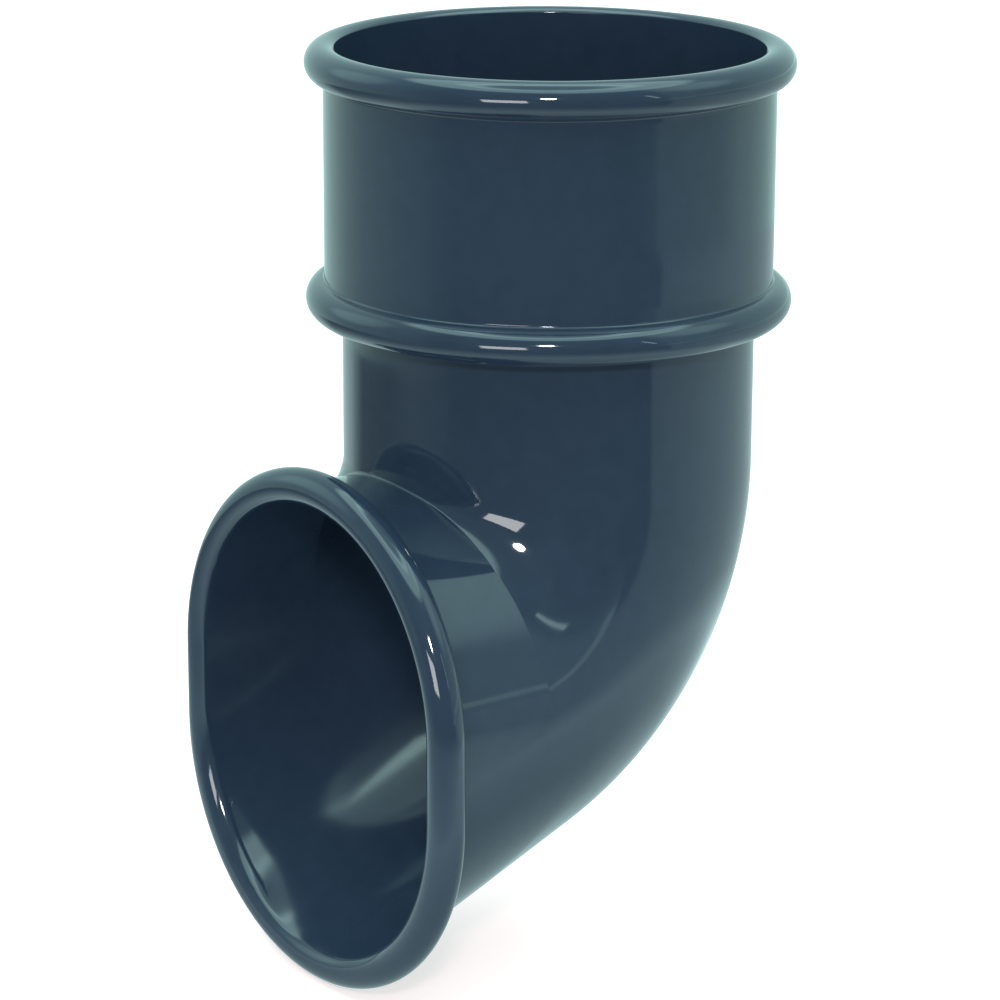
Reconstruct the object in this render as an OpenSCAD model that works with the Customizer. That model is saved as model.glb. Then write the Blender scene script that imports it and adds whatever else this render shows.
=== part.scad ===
// Round downpipe shoe, moulded in one piece. Sizes are in millimetres.
// The socket's axis is +Z, and the shoe throws the water out of its mouth along -Y.
// The origin is on the socket's axis, at the ledge where the downpipe's end stops.

/* [Socket] */
// Bore of the socket that the downpipe's end slides into
socket_bore = 68.8; // [50:0.1:120]
// Depth of the socket, from the ledge up to the top of the rim
socket_depth = 42; // [25:1:80]
// Thickness of the socket's wall
socket_wall = 1.9; // [1.5:0.1:2.8]
// Thickness of the ledge under the downpipe's end
ledge_thickness = 2.2; // [1.5:0.1:4]
// How far the ledge stands in from the bore, under the downpipe's end
ledge_width = 3.1; // [2:0.1:4]

/* [Beads] */
// Width of the round beads at the rim, under the socket and around the mouth
bead_width = 6; // [5:0.2:9]

/* [Body] */
// Thickness of the wall below the socket
body_wall = 2.1; // [1.5:0.1:3]
// Straight length below the ledge, down to where the bend starts
neck_length = 25.6; // [15:0.2:90]

/* [Bend] */
// Angle that the run turns through, from the downpipe's line to the outlet's
bend_angle = 67.5; // [60:0.5:75]
// Radius of the bend's inside, at the throat under the hood
throat_radius = 0.6; // [0.4:0.1:6]
// How much wider than the bend the outlet is, all round
core_step = 0.1; // [0.06:0.02:0.2]

/* [Mouth] */
// How far the mouth stands out in front of the body
mouth_overhang = 12.1; // [8:0.1:40]
// How far the hood's top lies above the start of the bend
hood_lift = 0.7; // [0:0.1:5]
// How far the hood's upright sides lie inside the body's sides
hood_inset = 0.05; // [0.03:0.01:0.2]
// How far the bead's middle line stands out past the sides of the body
mouth_flare = 0.2; // [0:0.05:0.5]
// How far the bead's middle line hangs below the run's underside
sill_drop = 0.6; // [0:0.1:1.5]

/* [Hidden] */
$fn = 120;

bore_r = socket_bore / 2;
socket_r = bore_r + socket_wall;
body_inner_r = bore_r - ledge_width;
body_r = body_inner_r + body_wall;
bead_r = bead_width / 2;

// Heights of the two beads' middles: one flush with the rim, one with the ledge's underside
rim_bead_z = socket_depth - bead_r;
foot_bead_z = bead_r - ledge_thickness;

// The bend turns about a level line in front of the throat, and ends at this point
bend_r = body_r + throat_radius;
bend_end_y = -bend_r * (1 - cos(bend_angle));
bend_end_z = -neck_length - bend_r * sin(bend_angle);

// The mouth lies in an upright plane, which the sloping outlet meets lower down
mouth_y = -(body_r + mouth_overhang);
outlet_tilt = 90 - bend_angle;
outlet_mouth_z = bend_end_z - (bend_end_y - mouth_y) * tan(outlet_tilt);
outlet_r = body_r + core_step;
ease_share = 0.75;

// The hood is a round arch with upright sides, level from inside the bend to the mouth
hood_r = body_r - hood_inset;
hood_inner_r = hood_r - body_wall;
hood_back_y = bend_end_y / 2;
arch_z = hood_lift - neck_length - hood_r;

// Middle line of the mouth's bead: a half circle at the arch, one at the sill, two sides
mouth_r = body_r + mouth_flare;
sill_z = outlet_mouth_z - outlet_r / cos(outlet_tilt) - sill_drop + mouth_r;

// Overrun of a cut past the surface it opens, and a reach past the whole shoe
overrun = body_wall;
beyond = socket_depth + neck_length + bend_r + body_r - mouth_y;

// Socket with its ledge and two beads, as one turned section
module socket() {
    rotate_extrude()
        difference() {
            union() {
                translate([0, -ledge_thickness])
                    square([socket_r, rim_bead_z + ledge_thickness]);
                for (z = [foot_bead_z, rim_bead_z])
                    translate([socket_r, z])
                        circle(r = bead_r);
            }
            square([bore_r, socket_depth + overrun]);
        }
}

// Everything above the level plane through its own origin
module upper_half() {
    translate([-beyond, -beyond, 0])
        cube([2 * beyond, 2 * beyond, beyond]);
}

// Solid round run of radius r: straight down from top_z, round the bend, and out past the mouth.
// The outlet is a hair wider than the bend, and its surface eases out over a short cone.
module run(r, top_z) {
    ease = ease_share * sqrt(core_step * (bend_r + r));
    translate([0, 0, -neck_length])
        cylinder(r = r, h = top_z + neck_length);
    translate([0, -bend_r, -neck_length])
        rotate([-90, 0, 90])
            rotate_extrude(angle = bend_angle)
                translate([bend_r, 0])
                    circle(r = r);
    translate([0, bend_end_y, bend_end_z])
        rotate([90 + outlet_tilt, 0, 0])
            rotate_extrude()
                polygon([
                    [0, -ease],
                    [r - core_step / 2, -ease],
                    [r + core_step, ease],
                    [r + core_step, beyond / 2],
                    [0, beyond / 2]
                ]);
}

// Solid arch of radius r over the outlet, from inside the bend forward to front_y
module hood(r, front_y) {
    intersection() {
        translate([0, hood_back_y, arch_z])
            rotate([90, 0, 0])
                linear_extrude(height = hood_back_y - front_y) {
                    circle(r = r);
                    translate([-r, sill_z - arch_z])
                        square([2 * r, arch_z - sill_z]);
                }
        // Only what lies above the outlet's own sloping middle plane
        translate([0, bend_end_y, bend_end_z])
            rotate([outlet_tilt, 0, 0])
                upper_half();
    }
}

// Half of a bead's ring, standing upright above its centre
module half_ring() {
    rotate([90, 0, 0])
        rotate_extrude(angle = 180)
            translate([mouth_r, 0])
                circle(r = bead_r);
}

// Bead around the mouth
module mouth_bead() {
    translate([0, mouth_y, arch_z])
        half_ring();
    translate([0, mouth_y, sill_z])
        mirror([0, 0, 1])
            half_ring();
    for (x = [-mouth_r, mouth_r])
        translate([x, mouth_y, sill_z])
            cylinder(r = bead_r, h = arch_z - sill_z);
}

// Outside of the body, cut off flat in the mouth's plane
module body() {
    difference() {
        run(body_r, -ledge_thickness / 2);
        translate([-beyond, mouth_y - beyond, -beyond])
            cube([2 * beyond, beyond, 2 * beyond]);
    }
    hood(hood_r, mouth_y);
}

// The whole shoe: socket, body and mouth, hollowed out by one waterway
module downpipe_shoe() {
    color("#35475A")
        difference() {
            union() {
                socket();
                body();
                mouth_bead();
            }
            run(body_inner_r, overrun);
            hood(hood_inner_r, mouth_y - bead_r - overrun);
        }
}

downpipe_shoe();
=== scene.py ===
import math
import bpy
from mathutils import Matrix, Vector


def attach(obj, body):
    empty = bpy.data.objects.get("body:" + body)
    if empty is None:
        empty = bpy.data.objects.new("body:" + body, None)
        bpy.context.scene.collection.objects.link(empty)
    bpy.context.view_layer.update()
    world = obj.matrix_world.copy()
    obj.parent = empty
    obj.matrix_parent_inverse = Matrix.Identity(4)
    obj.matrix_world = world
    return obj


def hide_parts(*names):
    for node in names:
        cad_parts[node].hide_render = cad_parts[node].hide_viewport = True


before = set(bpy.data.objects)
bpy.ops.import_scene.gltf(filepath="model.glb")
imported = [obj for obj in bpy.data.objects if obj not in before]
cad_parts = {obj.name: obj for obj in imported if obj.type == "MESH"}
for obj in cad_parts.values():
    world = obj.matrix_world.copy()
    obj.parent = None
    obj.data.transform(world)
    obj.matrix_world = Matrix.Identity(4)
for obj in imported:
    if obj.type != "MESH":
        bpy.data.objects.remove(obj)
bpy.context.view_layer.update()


# The shoe itself: the foot of a round downpipe, one hollow injection moulding in slate-grey rigid
# PVC. A socket with two rolled beads takes the pipe, and below it a bend under an arched hood
# throws the water out of an upright mouth with a third bead round it. Sizes are in millimetres.
MM = 0.001
SOCKET_BORE_R = 34.4
SOCKET_R = 36.3
LEDGE_UNDER_Z = -2.2
BEAD_R = 3.0
RIM_BEAD_Z = 39.0
FOOT_BEAD_Z = 0.8
BODY_R = 33.4
WATERWAY_R = 31.3
NECK_END_Z = -25.6
BEND_R = 34.0
BEND_ANGLE = math.radians(67.5)
HOOD_BACK_Y = -10.5
ARCH_Z = -58.25
SILL_Z = -70.43
MOUTH_Y = -45.5
MOUTH_RING_R = 33.6
# Small radii that the mould leaves: where the hood meets the body, under the beads, and at lips
HOOD_FILLET = 0.45
BEAD_FILLET = 0.45
NECK_FILLET = 0.5
LIP_ROUND = 0.35
# Steps of the mesh: columns round the shoe, then rows down the body, along the hood and outlet,
# round the mouth's bead, back along the outlet, up the waterway, and round the socket's arcs
COLUMNS = 240
BODY_ROWS = 74
HOOD_ROWS = 24
BEAD_ROWS = 30
OUTLET_ROWS = 16
WATERWAY_ROWS = 44
SMALL_ARC = 6
RIM_ARC = 34
FOOT_ARC = 28
SOCKET_ROW = 3.0


def across_run(y, z):
    """How far outside the run's middle line a point of the mirror plane is, and which way is out"""
    front, below = y + BEND_R, NECK_END_Z - z
    if below <= 0:
        return y, 1.0, 0.0
    if math.atan2(below, front) <= BEND_ANGLE:
        reach = math.hypot(front, below)
        return reach - BEND_R, front / reach, -below / reach
    out_y, out_z = math.cos(BEND_ANGLE), -math.sin(BEND_ANGLE)
    return front * out_y - below * out_z - BEND_R, out_y, out_z


def wall_gap(x, y, z, r, fillet):
    """Distance outside the round run of radius r joined to its hood by a fillet"""
    u, out_y, out_z = across_run(y, z)
    h = math.hypot(x, u)
    run = h - r
    if u >= 0 or y > HOOD_BACK_Y:
        return run
    rise = max(z - ARCH_Z, 0.0)
    side = math.hypot(x, rise)
    hood = side - r
    same = (x * x + u * out_z * rise) / (h * side)
    k = fillet * (1 - same)
    if run >= k or hood >= k:
        return min(run, hood)
    return k - math.hypot(k - run, k - hood)


def bead_gap(x, y, z):
    """Distance outside the bead round the mouth"""
    rise = z - ARCH_Z if z > ARCH_Z else min(z - SILL_Z, 0.0)
    return math.hypot(math.hypot(x, rise) - MOUTH_RING_R, y - MOUTH_Y) - BEAD_R


def shell_gap(x, y, z):
    """Distance outside the body's wall and its bead, with a fillet in the corner between them"""
    wall, bead = wall_gap(x, y, z, BODY_R, HOOD_FILLET), bead_gap(x, y, z)
    if wall >= BEAD_FILLET or bead >= BEAD_FILLET:
        return min(wall, bead)
    return BEAD_FILLET - math.hypot(BEAD_FILLET - wall, BEAD_FILLET - bead)


def bore_gap(x, y, z):
    """Distance outside the waterway"""
    return wall_gap(x, y, z, WATERWAY_R, HOOD_FILLET)


def lip_gap(x, y, z):
    """Distance outside the bead where the waterway opens through it, with the lip rounded"""
    wall = max(wall_gap(x, y, z, BODY_R, HOOD_FILLET), MOUTH_Y - y)
    bead, metal = min(bead_gap(x, y, z), wall), -bore_gap(x, y, z)
    if bead <= -LIP_ROUND or metal <= -LIP_ROUND:
        return max(bead, metal)
    return math.hypot(LIP_ROUND + bead, LIP_ROUND + metal) - LIP_ROUND


def settle(point, gap):
    """Moves a point straight onto the surface where the gap is nothing"""
    x, y, z = point
    # The gap's slope is taken over a short step, and five moves bring any point in
    step = 0.002
    for _ in range(5):
        d = gap(x, y, z)
        gx = (gap(x + step, y, z) - d) / step
        gy = (gap(x, y + step, z) - d) / step
        gz = (gap(x, y, z + step) - d) / step
        slope = gx * gx + gy * gy + gz * gz
        if slope < 1e-6:
            break
        x, y, z = x - d * gx / slope, y - d * gy / slope, z - d * gz / slope
    return x, y, z


def run_point(theta, r, length):
    """Point of the round run at an angle from the front, a length below the ledge's underside"""
    neck = LEDGE_UNDER_Z - NECK_END_Z
    x, toward = r * math.sin(theta), r * math.cos(theta)
    if length <= neck:
        return x, -toward, LEDGE_UNDER_Z - length
    reach = BEND_R - toward
    turn = (length - neck) / reach
    if turn <= BEND_ANGLE:
        return x, reach * math.cos(turn) - BEND_R, NECK_END_Z - reach * math.sin(turn)
    past = length - neck - reach * BEND_ANGLE
    y = reach * math.cos(BEND_ANGLE) - BEND_R - past * math.sin(BEND_ANGLE)
    return x, y, NECK_END_Z - reach * math.sin(BEND_ANGLE) - past * math.cos(BEND_ANGLE)


def crease_length(theta, r):
    """Length down the run to where the hood crosses it, carried on round the heel from there"""
    neck = LEDGE_UNDER_Z - NECK_END_Z
    toward = r * math.cos(theta)
    reach = BEND_R - toward
    if toward < 0:
        past = (NECK_END_Z - BEND_R * math.sin(BEND_ANGLE) - ARCH_Z) / math.cos(BEND_ANGLE)
        return neck + reach * BEND_ANGLE + past * (toward / r + 1) ** 2
    z = ARCH_Z + toward
    if z >= NECK_END_Z:
        return LEDGE_UNDER_Z - z
    turn = math.asin(min(1.0, (NECK_END_Z - z) / reach))
    if z >= NECK_END_Z - reach * math.sin(BEND_ANGLE):
        return neck + reach * turn
    past = (NECK_END_Z - reach * math.sin(BEND_ANGLE) - z) / math.cos(BEND_ANGLE)
    return neck + reach * BEND_ANGLE + past


def mouth_ring(share):
    """Point and outward direction on the middle line of the mouth's bead, from its top down"""
    quarter, side = MOUTH_RING_R * math.pi / 2, ARCH_Z - SILL_Z
    far = share * (2 * quarter + side)
    if far < quarter:
        t = far / MOUTH_RING_R
        centre = ARCH_Z
    elif far < quarter + side:
        return (MOUTH_RING_R, ARCH_Z - (far - quarter)), (1.0, 0.0)
    else:
        t = (far - side) / MOUTH_RING_R
        centre = SILL_Z
    out = math.sin(t), math.cos(t)
    return (MOUTH_RING_R * out[0], centre + MOUTH_RING_R * out[1]), out


def crease_angle(share):
    """Angle round the run at which a column of the mesh crosses the hood's line"""
    quarter, side = MOUTH_RING_R * math.pi / 2, ARCH_Z - SILL_Z
    far = share * (2 * quarter + side)
    if far < quarter:
        return far / MOUTH_RING_R
    return math.pi / 2 * (1 + (far - quarter) / (quarter + side))


def off_ring(ring, out, y, gap):
    """How far outside the bead's middle line a surface lies at y, found by halving"""
    low, high = -8.0, 4.0
    for _ in range(40):
        mid = (low + high) / 2
        if gap(ring[0] + mid * out[0], y, ring[1] + mid * out[1]) < 0:
            low = mid
        else:
            high = mid
    return low


def crowded(length, near, count):
    """Distances back from an edge: close together beside it, then even over the rest"""
    rest = [near[-1] + (length - near[-1]) * (i + 1) / count for i in range(count)]
    return near + rest


# Distances of the rows from a crease, from the bead and from the lip
NEAR = [0.07, 0.15, 0.24, 0.34, 0.45, 0.58, 0.75, 1.0, 1.35, 1.8]
NEAR_BEAD = [0.08, 0.17, 0.27, 0.38, 0.5, 0.7, 1.0]
NEAR_LIP = [0.07, 0.15, 0.24, 0.35, 0.5, 0.8]


def body_column(share):
    """One line of the mesh: down the body, round the mouth's bead, and back up the waterway"""
    ring, out = mouth_ring(share)
    theta0, theta1 = share * math.pi, crease_angle(share)
    line = []

    def drop(r, gap, counts, start):
        length = crease_length(theta1, r)
        points = []
        for d in crowded(length - start, NEAR, counts):
            here = length - d
            f = here / length
            theta = theta0 + (theta1 - theta0) * f * f * (3 - 2 * f)
            points.append(settle(run_point(theta, r, here), gap))
        corner = run_point(theta1, r, length)
        return points, corner

    def outer(x, y, z):
        return wall_gap(x, y, z, BODY_R, HOOD_FILLET)

    above, corner = drop(BODY_R, outer, BODY_ROWS, NECK_FILLET)
    line += reversed(above)
    line.append(settle(corner, outer))
    # Out along the hood, or the outlet, to the back of the bead
    off = 0.0
    for _ in range(6):
        off = off_ring(ring, out, MOUTH_Y + math.sqrt(BEAD_R ** 2 - off ** 2), outer)
    start = math.asin(off / BEAD_R)
    back_y = MOUTH_Y + BEAD_R * math.cos(start)
    end = (ring[0] + off * out[0], back_y, ring[1] + off * out[1])
    way = Vector(end) - Vector(corner)
    for d in NEAR:
        line.append(settle(Vector(corner) + way * (d / way.length), shell_gap))
    for d in reversed(crowded(way.length - NEAR[-1], NEAR_BEAD, HOOD_ROWS)[:-1]):
        line.append(settle(Vector(end) - way * (d / way.length), shell_gap))
    # Round the bead, from its back over the front to the lip, which a few rounds find from a guess
    line.append(settle(end, shell_gap))
    dip = -2.3
    for _ in range(6):
        dip = off_ring(ring, out, MOUTH_Y - math.sqrt(BEAD_R ** 2 - dip ** 2), bore_gap)
        dip = max(dip, 0.1 - BEAD_R)
    finish = math.pi - math.asin(dip / BEAD_R)
    turn = finish - start
    first = [start + d / BEAD_R for d in NEAR_BEAD]
    last = [finish - d / BEAD_R for d in reversed(NEAR_LIP)]
    even_step = (last[0] - first[-1]) / (BEAD_ROWS + 1)
    even = [first[-1] + even_step * (i + 1) for i in range(BEAD_ROWS)]
    for t in first + even + last:
        e, y = BEAD_R * math.sin(t), MOUTH_Y + BEAD_R * math.cos(t)
        point = (ring[0] + e * out[0], y, ring[1] + e * out[1])
        if t in first:
            point = settle(point, shell_gap)
        elif t in last:
            point = settle(point, lip_gap)
        line.append(point)
    lip = (ring[0] + dip * out[0], MOUTH_Y + BEAD_R * math.cos(finish), ring[1] + dip * out[1])
    line.append(settle(lip, lip_gap))
    # Back up the waterway
    inside, corner = drop(WATERWAY_R, bore_gap, WATERWAY_ROWS, LEDGE_UNDER_Z + LIP_ROUND)
    way = Vector(corner) - Vector(lip)
    for d in NEAR_LIP:
        line.append(settle(Vector(lip) + way * (d / way.length), lip_gap))
    for d in reversed(crowded(way.length - NEAR_LIP[-1], NEAR, OUTLET_ROWS)[:-1]):
        line.append(settle(Vector(corner) - way * (d / way.length), bore_gap))
    line.append(settle(corner, bore_gap))
    line += inside
    return line


def arc(cx, cz, r, a0, a1, count):
    """Points of an arc of the socket's section, angles in degrees from outward towards up"""
    turn = [math.radians(a0 + (a1 - a0) * i / count) for i in range(count + 1)]
    return [(cx + r * math.cos(t), cz + r * math.sin(t)) for t in turn]


# The socket's section, from the waterway's edge at the ledge over the rim to the top of the neck
section = arc(WATERWAY_R + LIP_ROUND, -LIP_ROUND, LIP_ROUND, 180, 90, SMALL_ARC)[1:]
section += arc(SOCKET_BORE_R - LIP_ROUND, LIP_ROUND, LIP_ROUND, -90, 0, SMALL_ARC)
section += [(SOCKET_BORE_R, SOCKET_ROW * i) for i in range(1, 14)]
# The rim's lip: where its small round meets the bead
lip_in = SOCKET_R - SOCKET_BORE_R - LIP_ROUND
lip_up = math.sqrt((BEAD_R - LIP_ROUND) ** 2 - lip_in ** 2)
lip_end = 180 - math.degrees(math.atan2(lip_up, lip_in))
section += arc(SOCKET_BORE_R + LIP_ROUND, RIM_BEAD_Z + lip_up, LIP_ROUND, 180, lip_end, SMALL_ARC)[:-1]
# The small fillets beside the two beads: how far round the bead they start, and their height
lean = math.degrees(math.asin(BEAD_FILLET / (BEAD_R + BEAD_FILLET)))
rise = math.sqrt(BEAD_R ** 2 + 2 * BEAD_R * BEAD_FILLET)
fillet_r = SOCKET_R + BEAD_FILLET
section += arc(SOCKET_R, RIM_BEAD_Z, BEAD_R, lip_end, lean - 90, RIM_ARC)
section += arc(fillet_r, RIM_BEAD_Z - rise, BEAD_FILLET, 90 + lean, 180, SMALL_ARC)[1:]
section += [(SOCKET_R, 34.0 - SOCKET_ROW * i) for i in range(10)]
section += arc(fillet_r, FOOT_BEAD_Z + rise, BEAD_FILLET, 180, 270 - lean, SMALL_ARC)
section += arc(SOCKET_R, FOOT_BEAD_Z, BEAD_R, 90 - lean, -90, FOOT_ARC)[1:]
section += [(SOCKET_R - 1.0, LEDGE_UNDER_Z), (SOCKET_R - 2.0, LEDGE_UNDER_Z)]
section += arc(BODY_R + NECK_FILLET, LEDGE_UNDER_Z - NECK_FILLET, NECK_FILLET, 90, 180, SMALL_ARC)[:-1]

# Half of the columns are worked out, and the other half mirrored
lines = []
for i in range(COLUMNS // 2 + 1):
    share = 2 * i / COLUMNS
    theta = share * math.pi
    line = body_column(share)
    line += [(r * math.sin(theta), -r * math.cos(theta), z) for r, z in section]
    if i in (0, COLUMNS // 2):
        line = [(0.0, y, z) for x, y, z in line]
    lines.append(line)
lines += [[(-x, y, z) for x, y, z in lines[i]] for i in range(COLUMNS // 2 - 1, 0, -1)]

rows = len(lines[0])
points = [point for line in lines for point in line]
faces = []
for i in range(COLUMNS):
    a, b = i * rows, (i + 1) % COLUMNS * rows
    for j in range(rows):
        k = (j + 1) % rows
        faces.append((a + j, a + k, b + k, b + j))
mesh = bpy.data.meshes.new("downpipe_shoe_moulding")
mesh.from_pydata([(x * MM, y * MM, z * MM) for x, y, z in points], [], faces)
mesh.polygons.foreach_set("use_smooth", [True] * len(faces))


BORE_SHARE = 0.45


def core_share(x, y, z):
    """How far a point is on the side that the mould's core formed: 1 in the waterway, less in
    the socket's bore, which was polished for the pipe, and 0 outside. It fades over the lips."""
    if z > -LIP_ROUND:
        return BORE_SHARE * min(max(SOCKET_BORE_R + 0.5 - math.hypot(x, y), 0.0) / 0.4, 1.0)
    return min(max(0.9 - abs(bore_gap(x, y, z)), 0.0) / 0.6, 1.0)


cored = mesh.attributes.new("core_side", "FLOAT", "POINT")
cored.data.foreach_set("value", [core_share(*point) for point in points])
mesh.update()
shoe = bpy.data.objects.new("downpipe_shoe_moulding", mesh)
bpy.context.scene.collection.objects.link(shoe)


def linear(code):
    """Linear colour of an sRGB hex code"""
    parts = [int(code[i:i + 2], 16) / 255 for i in (1, 3, 5)]
    return tuple(c / 12.92 if c <= 0.04045 else ((c + 0.055) / 1.055) ** 2.4 for c in parts) + (1.0,)


def add(tree, kind, links=None, **settings):
    """Adds a node with its settings, and its links as {input: (node, output)}"""
    node = tree.nodes.new(kind)
    for name, value in settings.items():
        if hasattr(node, name):
            setattr(node, name, value)
        else:
            node.inputs[name.replace("_", " ")].default_value = value
    for name, (source, output) in (links or {}).items():
        tree.links.new(source.outputs[output], node.inputs[name])
    return node


# Rigid PVC, coloured slate grey through and through. The polished mould leaves the outside a deep
# gloss with faint slow waves in its reflections, and the core leaves the waterway satin.
slate = bpy.data.materials.new("gloss_slate_pvc")
slate.use_nodes = True
tree = slate.node_tree
tree.nodes.clear()
spot = add(tree, "ShaderNodeTexCoord")
side = add(tree, "ShaderNodeAttribute", attribute_name="core_side")
# Colour: pigment clouds about 25 mm across, and fine flow marks 3 mm long
clouds = add(tree, "ShaderNodeTexNoise", {"Vector": (spot, "Object")}, Scale=40.0, Detail=3.0)
flow = add(tree, "ShaderNodeTexNoise", {"Vector": (spot, "Object")}, Scale=330.0, Detail=2.0)
mottle = add(tree, "ShaderNodeMath", {0: (clouds, "Fac"), 1: (flow, "Fac")}, operation="ADD")
shade = add(tree, "ShaderNodeMapRange", {"Value": (mottle, "Value")}, From_Min=0.7, From_Max=1.3)
pigment = add(tree, "ShaderNodeMix", {"Factor": (shade, "Result")}, data_type="RGBA")
pigment.inputs["A"].default_value = linear("#243041")
pigment.inputs["B"].default_value = linear("#283446")
# Roughness: gloss outside and satin where the core formed it, with handling haze 11 mm across
haze = add(tree, "ShaderNodeTexNoise", {"Vector": (spot, "Object")}, Scale=90.0, Detail=5.0)
gloss = add(tree, "ShaderNodeMapRange", {"Value": (haze, "Fac")}, From_Min=0.35, From_Max=0.7,
            To_Min=0.045, To_Max=0.085)
satin = add(tree, "ShaderNodeMapRange", {"Value": (haze, "Fac")}, From_Min=0.3, From_Max=0.7,
            To_Min=0.09, To_Max=0.12)
finish = add(tree, "ShaderNodeMix",
             {"Factor": (side, "Fac"), "A": (gloss, "Result"), "B": (satin, "Result")})
# Relief: slow waves 20 mm long, then an orange peel 2 mm across that barely shows in the gloss
waves = add(tree, "ShaderNodeTexNoise", {"Vector": (spot, "Object")}, Scale=50.0, Detail=1.0)
slow = add(tree, "ShaderNodeBump", {"Height": (waves, "Fac")}, Strength=1.0, Distance=0.00006)
peel = add(tree, "ShaderNodeTexNoise", {"Vector": (spot, "Object")}, Scale=500.0, Detail=2.0)
skin = add(tree, "ShaderNodeBump", {"Height": (peel, "Fac"), "Normal": (slow, "Normal")},
           Strength=1.0, Distance=0.0000012)
pvc = add(tree, "ShaderNodeBsdfPrincipled",
          {"Base Color": (pigment, 2), "Roughness": (finish, 0), "Normal": (skin, "Normal")}, IOR=1.53)
add(tree, "ShaderNodeOutputMaterial", {"Surface": (pvc, "BSDF")})
mesh.materials.append(slate)

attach(shoe, "root")
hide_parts("downpipe_shoe")


# The floor under the shoe: a plain sheet of matt white paper, which the shoe just touches. The
# camera sees it plain. To every other ray it is a glowing sheet of painted light, a painted reflection
# of a lit table. It is bright within half a metre of the shoe and to the right, and falls off toward the
# camera, as a table in a light tent does. It is darker just round the shoe as painted shadow. Angles are
# from the camera's heading.
FLOOR_Z = -107.1 * MM
PAPER_HALF = 4.0
CAMERA_AZIMUTH = math.radians(51.95)
TOWARD = Vector((math.sin(CAMERA_AZIMUTH), -math.cos(CAMERA_AZIMUTH), 0))
ASIDE = Vector((math.cos(CAMERA_AZIMUTH), math.sin(CAMERA_AZIMUTH), 0))
# Strength of the paper's painted glow by distance in mm from the socket's axis, darker within 55 mm
# as painted shadow under the shoe, and by angle in degrees, and how far out its painted reflection
# reaches in metres to the left and to the right
PAINTED_GLOW_OUT = [(0, 0.75), (55, 0.8), (90, 1.1), (125, 1.35), (156, 1.0), (190, 0.72), (244, 0.4),
             (333, 0.24), (600, 0.2)]
PAINTED_GLOW_ROUND = [(-180, 0.9), (-138, 0.95), (-122, 0.25), (-95, 0.28), (-78, 0.45), (-60, 0.4), (-50, 0.25),
               (56, 0.25), (58, 0.7), (75, 0.88), (95, 1.0), (140, 0.85), (180, 0.85)]
PAPER_REACH = 0.42, 0.58


def bearing(tree, source, output):
    """Nodes for a vector's part toward the camera, its part aside, and its angle from 0 to 1"""
    front = add(tree, "ShaderNodeVectorMath", {0: (source, output)}, operation="DOT_PRODUCT")
    front.inputs[1].default_value = TOWARD
    across = add(tree, "ShaderNodeVectorMath", {0: (source, output)}, operation="DOT_PRODUCT")
    across.inputs[1].default_value = ASIDE
    angle = add(tree, "ShaderNodeMath", {0: (across, "Value"), 1: (front, "Value")}, operation="ARCTAN2")
    return add(tree, "ShaderNodeMapRange", {"Value": (angle, "Value")}, From_Min=-math.pi, From_Max=math.pi)


def levels(tree, source, output, stops, first, last, top):
    """Nodes that turn a share from 0 to 1 into a brightness of top at most, by stops that run
    from first to last"""
    ramp = add(tree, "ShaderNodeValToRGB", {"Fac": (source, output)})
    elements = ramp.color_ramp.elements
    elements.remove(elements[1])
    for i, (place, level) in enumerate(stops):
        share = (place - first) / (last - first)
        element = elements.new(share) if i else elements[0]
        element.position = share
        element.color = (level / top, level / top, level / top, 1.0)
    whole = add(tree, "ShaderNodeMath", {0: (ramp, "Color")}, operation="MULTIPLY")
    whole.inputs[1].default_value = top
    return whole


floor_mesh = bpy.data.meshes.new("paper_floor")
corners = [(x * PAPER_HALF, y * PAPER_HALF, FLOOR_Z) for x, y in ((-1, -1), (1, -1), (1, 1), (-1, 1))]
floor_mesh.from_pydata(corners, [], [(0, 1, 2, 3)])
floor = bpy.data.objects.new("paper_floor", floor_mesh)
bpy.context.scene.collection.objects.link(floor)
paper = bpy.data.materials.new("paper_with_painted_glow")
paper.use_nodes = True
tree = paper.node_tree
tree.nodes.clear()
# Painted light: to rays other than the camera's the paper glows by distance and angle, darker close to the
# shoe as painted shadow
here = add(tree, "ShaderNodeNewGeometry")
away = add(tree, "ShaderNodeVectorMath", {0: (here, "Position")}, operation="MULTIPLY")
away.inputs[1].default_value = (1.0, 1.0, 0.0)
reach = add(tree, "ShaderNodeVectorMath", {0: (away, "Vector")}, operation="LENGTH")
reach_share = add(tree, "ShaderNodeMapRange", {"Value": (reach, "Value")}, From_Max=0.6)
near = levels(tree, reach_share, "Result", PAINTED_GLOW_OUT, 0, 600, 1.5)
angle = bearing(tree, away, "Vector")
ring = levels(tree, angle, "Result", PAINTED_GLOW_ROUND, -180, 180, 1.2)
lit = add(tree, "ShaderNodeMath", {0: (near, "Value"), 1: (ring, "Value")}, operation="MAXIMUM")
glow = add(tree, "ShaderNodeEmission", {"Strength": (lit, "Value")}, Color=(0.69, 0.97, 0.98, 1.0))
clear = add(tree, "ShaderNodeBsdfTransparent")
limit = add(tree, "ShaderNodeMapRange", {"Value": (angle, "Result")}, From_Min=0.49, From_Max=0.51,
            To_Min=PAPER_REACH[0], To_Max=PAPER_REACH[1])
edge = add(tree, "ShaderNodeMath", {0: (reach, "Value"), 1: (limit, "Result")}, operation="GREATER_THAN")
table = add(tree, "ShaderNodeMixShader", {0: (edge, "Value"), 1: (glow, "Emission"), 2: (clear, "BSDF")})
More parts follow.
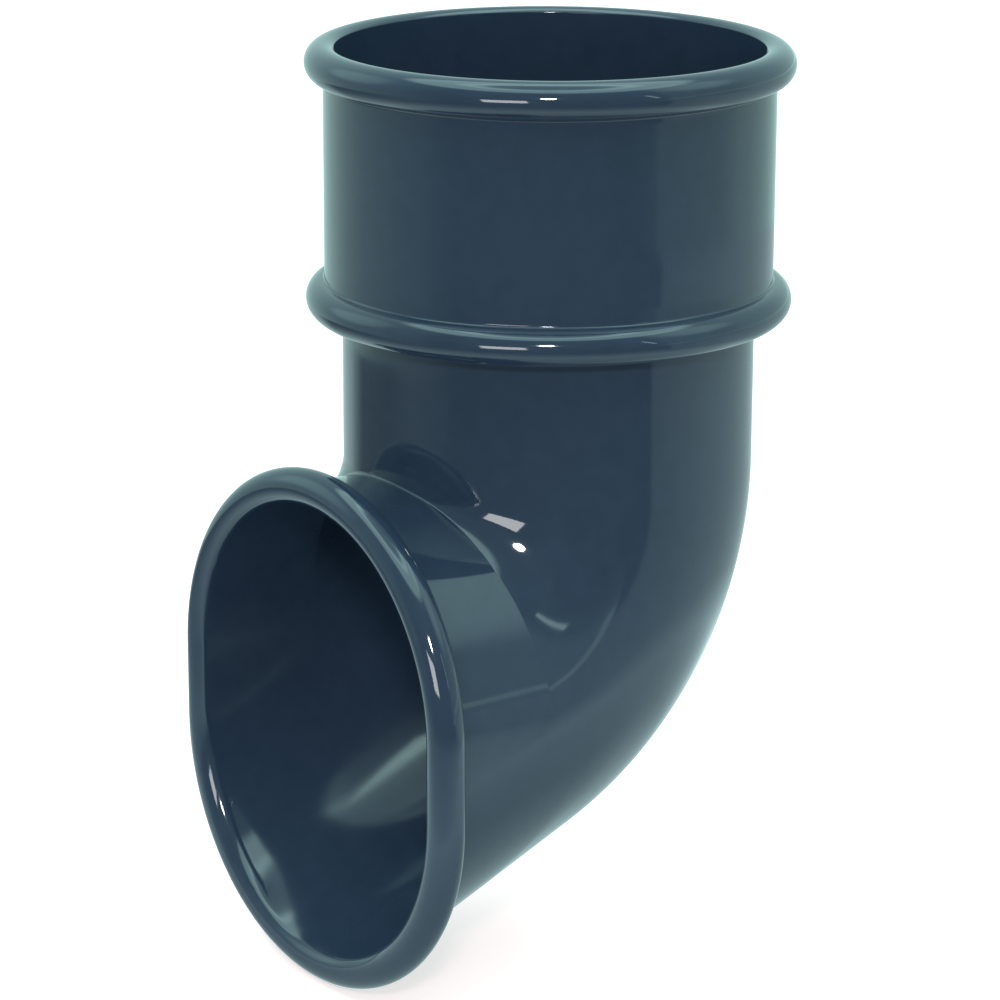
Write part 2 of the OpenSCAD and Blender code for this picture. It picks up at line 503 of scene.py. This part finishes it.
# What the camera sees: paper that glows a little, warm enough to turn the cool light white
sheet = add(tree, "ShaderNodeBsdfPrincipled", Base_Color=(0.72, 0.5, 0.5, 1.0), Roughness=0.9,
            Emission_Color=(1.0, 1.0, 1.0, 1.0), Emission_Strength=0.6)
ray = add(tree, "ShaderNodeLightPath")
seen = add(tree, "ShaderNodeMixShader",
           {0: (ray, "Is Camera Ray"), 1: (table, "Shader"), 2: (sheet, "BSDF")})
add(tree, "ShaderNodeOutputMaterial", {"Surface": (seen, "Shader")})
floor_mesh.materials.append(paper)


# The studio: a white tent that is bright behind and beside the shoe, dark round the camera, with
# a lit ring overhead and a soft lamp to each side. The camera sees plain white.
# Brightness of the walls by angle in degrees
WALLS = [(-180, 1.0), (-140, 1.05), (-112, 0.82), (-90, 0.68), (-69, 0.52), (-58, 0.36), (-48, 0.26),
         (45, 0.27), (54, 0.4), (57, 0.64), (75, 0.7), (95, 0.8), (110, 0.98), (140, 0.92), (180, 1.0)]
# Brightness above the horizon, by the sine of the height
ROOF = [(0.0, 0.0), (0.2, 0.0), (0.35, 0.35), (0.6, 0.3), (0.78, 0.4), (0.835, 3.2), (0.915, 3.1),
        (0.94, 4.9), (0.955, 4.0), (0.965, 2.2), (0.975, 1.4), (1.0, 1.0)]
# Brightness of the table's far edge on the right, by the sine of the height, before it climbs
SKIRT = [(-0.2, 0.0), (-0.118, 0.0), (-0.1, 1.4), (-0.07, 1.4), (-0.052, 0.0), (0.0, 0.0)]
world = bpy.data.worlds.new("studio")
bpy.context.scene.world = world
world.use_nodes = True
tree = world.node_tree
tree.nodes.clear()
heading = add(tree, "ShaderNodeTexCoord")
walls_angle = bearing(tree, heading, "Generated")
walls = levels(tree, walls_angle, "Result", WALLS, -180, 180, 1.2)
split = add(tree, "ShaderNodeSeparateXYZ", {"Vector": (heading, "Generated")})
roof = levels(tree, split, "Z", ROOF, 0, 1, 5.0)
level = add(tree, "ShaderNodeMath", {0: (walls, "Value"), 1: (roof, "Value")}, operation="MAXIMUM")
# The lit far edge of the table: a narrow line that climbs toward the horizon between 66 and 72
# degrees, and is seen past 56
climb = add(tree, "ShaderNodeMapRange", {"Value": (walls_angle, "Result")},
            From_Min=0.6833, From_Max=0.7008, To_Max=0.055)
dropped = add(tree, "ShaderNodeMath", {0: (split, "Z"), 1: (climb, "Result")}, operation="SUBTRACT")
low = add(tree, "ShaderNodeMapRange", {"Value": (dropped, "Value")}, From_Min=-0.2, From_Max=0.0)
skirt = levels(tree, low, "Result", SKIRT, -0.2, 0, 2.0)
past = add(tree, "ShaderNodeMapRange", {"Value": (walls_angle, "Result")}, From_Min=0.655, From_Max=0.66)
table_edge = add(tree, "ShaderNodeMath", {0: (skirt, "Value"), 1: (past, "Result")}, operation="MULTIPLY")
level = add(tree, "ShaderNodeMath", {0: (level, "Value"), 1: (table_edge, "Value")}, operation="MAXIMUM")
# Soft lamps: azimuth and height of the middle, and how far out they fade, in degrees
for azimuth, height, spread, strength in ((85, 42, 24, 1.1), (-110, 26, 24, 0.9)):
    azimuth, height = math.radians(azimuth), math.radians(height)
    middle = (TOWARD * math.cos(azimuth) + ASIDE * math.sin(azimuth)) * math.cos(height)
    close = add(tree, "ShaderNodeVectorMath", {0: (heading, "Generated")}, operation="DOT_PRODUCT")
    close.inputs[1].default_value = middle + Vector((0, 0, math.sin(height)))
    fade = add(tree, "ShaderNodeMapRange", {"Value": (close, "Value")}, interpolation_type="SMOOTHSTEP",
               From_Min=math.cos(math.radians(spread)), From_Max=math.cos(math.radians(5)), To_Max=strength)
    level = add(tree, "ShaderNodeMath", {0: (level, "Value"), 1: (fade, "Result")}, operation="ADD")
tent = add(tree, "ShaderNodeBackground", {"Strength": (level, "Value")}, Color=(0.66, 1.0, 0.95, 1.0))
white = add(tree, "ShaderNodeBackground", Color=(1.0, 1.0, 1.0, 1.0), Strength=1.0)
ray = add(tree, "ShaderNodeLightPath")
both = add(tree, "ShaderNodeMixShader",
           {0: (ray, "Is Camera Ray"), 1: (tent, "Background"), 2: (white, "Background")})
add(tree, "ShaderNodeOutputWorld", {"Surface": (both, "Shader")})


# Middle of the shoe, which the lamps face
MIDDLE = Vector((10, -20, -20)) * MM


def lamp(name, shape, size, place, brightness, lean=0.0, tint=(1.0, 1.0, 1.0)):
    """Adds an area lamp of a size in mm, at a place toward the camera, aside and up, in mm"""
    light = bpy.data.lights.new(name, "AREA")
    light.shape = shape
    light.size = size[0] * MM
    light.size_y = size[1] * MM
    area = size[0] * size[1] * MM * MM * (math.pi / 4 if shape == "DISK" else 1.0)
    light.energy = brightness * math.pi * area
    light.color = tint
    holder = bpy.data.objects.new(name, light)
    bpy.context.scene.collection.objects.link(holder)
    stand = (TOWARD * place[0] + ASIDE * place[1] + Vector((0, 0, place[2]))) * MM
    aim = (MIDDLE - stand).to_track_quat("-Z", "Y").to_matrix()
    turn = Matrix.Rotation(math.radians(lean), 3, "Z")
    holder.matrix_world = Matrix.Translation(stand) @ (aim @ turn).to_4x4()
    holder.visible_camera = False


# A small round flash over the camera, a soft box to its left, and the lit edge of a door to its right
lamp("flash", "DISK", (80, 80), (650, -8, 276), 132.0)
lamp("soft_box", "RECTANGLE", (232, 140), (600, -218, 45), 8.3, lean=5.0)
lamp("strip", "RECTANGLE", (26, 250), (550, 595, 225), 3.6, lean=14.0, tint=(0.7, 1.0, 0.98))

# The camera: a long lens about 0.61 m away, a little above the socket
CAMERA_OUT, CAMERA_UP = 609.1, 142.7
YAW, PITCH, ROLL = -0.01267, 0.28240, 0.00402
FOCAL_PX = 3851.3
PICTURE_PX = 1000
SENSOR = 36.0
level_way = ASIDE * math.sin(YAW) - TOWARD * math.cos(YAW)
forward = level_way * math.cos(PITCH) - Vector((0, 0, math.sin(PITCH)))
right = forward.cross(Vector((0, 0, 1))).normalized()
up = right.cross(forward)
right, up = right * math.cos(ROLL) + up * math.sin(ROLL), up * math.cos(ROLL) - right * math.sin(ROLL)
camera_data = bpy.data.cameras.new("camera")
camera_data.sensor_width = SENSOR
camera_data.lens = SENSOR * FOCAL_PX / PICTURE_PX
camera = bpy.data.objects.new("camera", camera_data)
bpy.context.scene.collection.objects.link(camera)
stand = (TOWARD * CAMERA_OUT + Vector((0, 0, CAMERA_UP))) * MM
camera.matrix_world = Matrix((
    (right.x, up.x, -forward.x, stand.x), (right.y, up.y, -forward.y, stand.y),
    (right.z, up.z, -forward.z, stand.z), (0, 0, 0, 1)))
bpy.context.scene.camera = camera
# Plain sRGB, so that the colours come out as they are set
bpy.context.scene.view_settings.view_transform = "Standard"
